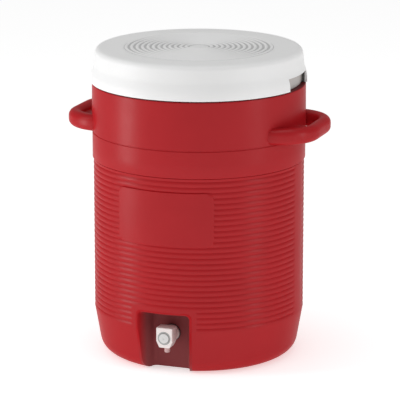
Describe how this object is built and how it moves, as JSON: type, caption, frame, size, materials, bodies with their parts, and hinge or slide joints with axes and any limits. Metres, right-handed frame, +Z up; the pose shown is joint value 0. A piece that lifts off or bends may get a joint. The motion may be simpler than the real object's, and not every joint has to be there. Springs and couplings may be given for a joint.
{
  "type": "insulated beverage cooler",
  "caption": "Round insulated drinks cooler with a ribbed red body, side handles, a lift-off white lid with concentric ridges and a recessed push-button faucet.",
  "frame": {"origin": "centre of the base, on the surface that the cooler stands on", "axes": "+Z up, the faucet faces -Y, the handles stand out along +X and -X"},
  "size_m": [0.452, 0.371, 0.5346],
  "materials": {
    "red_shell": "satin",
    "red_cup": "satin",
    "red_handle": "satin",
    "white_lid": "satin",
    "white_liner": "gloss",
    "foam": "matte",
    "seal_rubber": "matte",
    "faucet_white": "gloss",
    "faucet_ring": "satin",
    "button_white": "gloss",
    "spring_steel": "polished"
  },
  "bodies": {
    "cooler": {"outer_shell": "red_shell", "alcove_cup": "red_cup", "liner": "white_liner", "wall_foam": "foam", "right_handle": "red_handle", "left_handle": "red_handle", "foam_fill_plug": "red_handle", "faucet_body": "faucet_white", "faucet_bonnet": "faucet_ring", "stem_seal_ring": "seal_rubber", "spout_nozzle": "faucet_white", "outer_washer": "seal_rubber", "wall_sleeve": "faucet_white", "inner_washer": "seal_rubber", "lock_nut": "faucet_white", "return_spring": "spring_steel"},
    "lid": {"lid_cover": "white_lid", "lid_liner": "white_liner", "lid_foam": "foam", "lid_gasket": "seal_rubber"},
    "button": {"push_button": "button_white", "valve_stem": "faucet_white", "valve_seal": "seal_rubber"}
  },
  "joints": [
    {"name": "lid_lift", "type": "slide", "parent": "cooler", "child": "lid", "axis": [0, 0, 1], "range_m": [0, 0.15]},
    {"name": "button_push", "type": "slide", "parent": "cooler", "child": "button", "axis": [0, 1, 0], "range_m": [0, 0.004], "stiffness_N_per_m": 1500, "springref_m": -0.004, "deforming": ["return_spring"]}
  ]
}
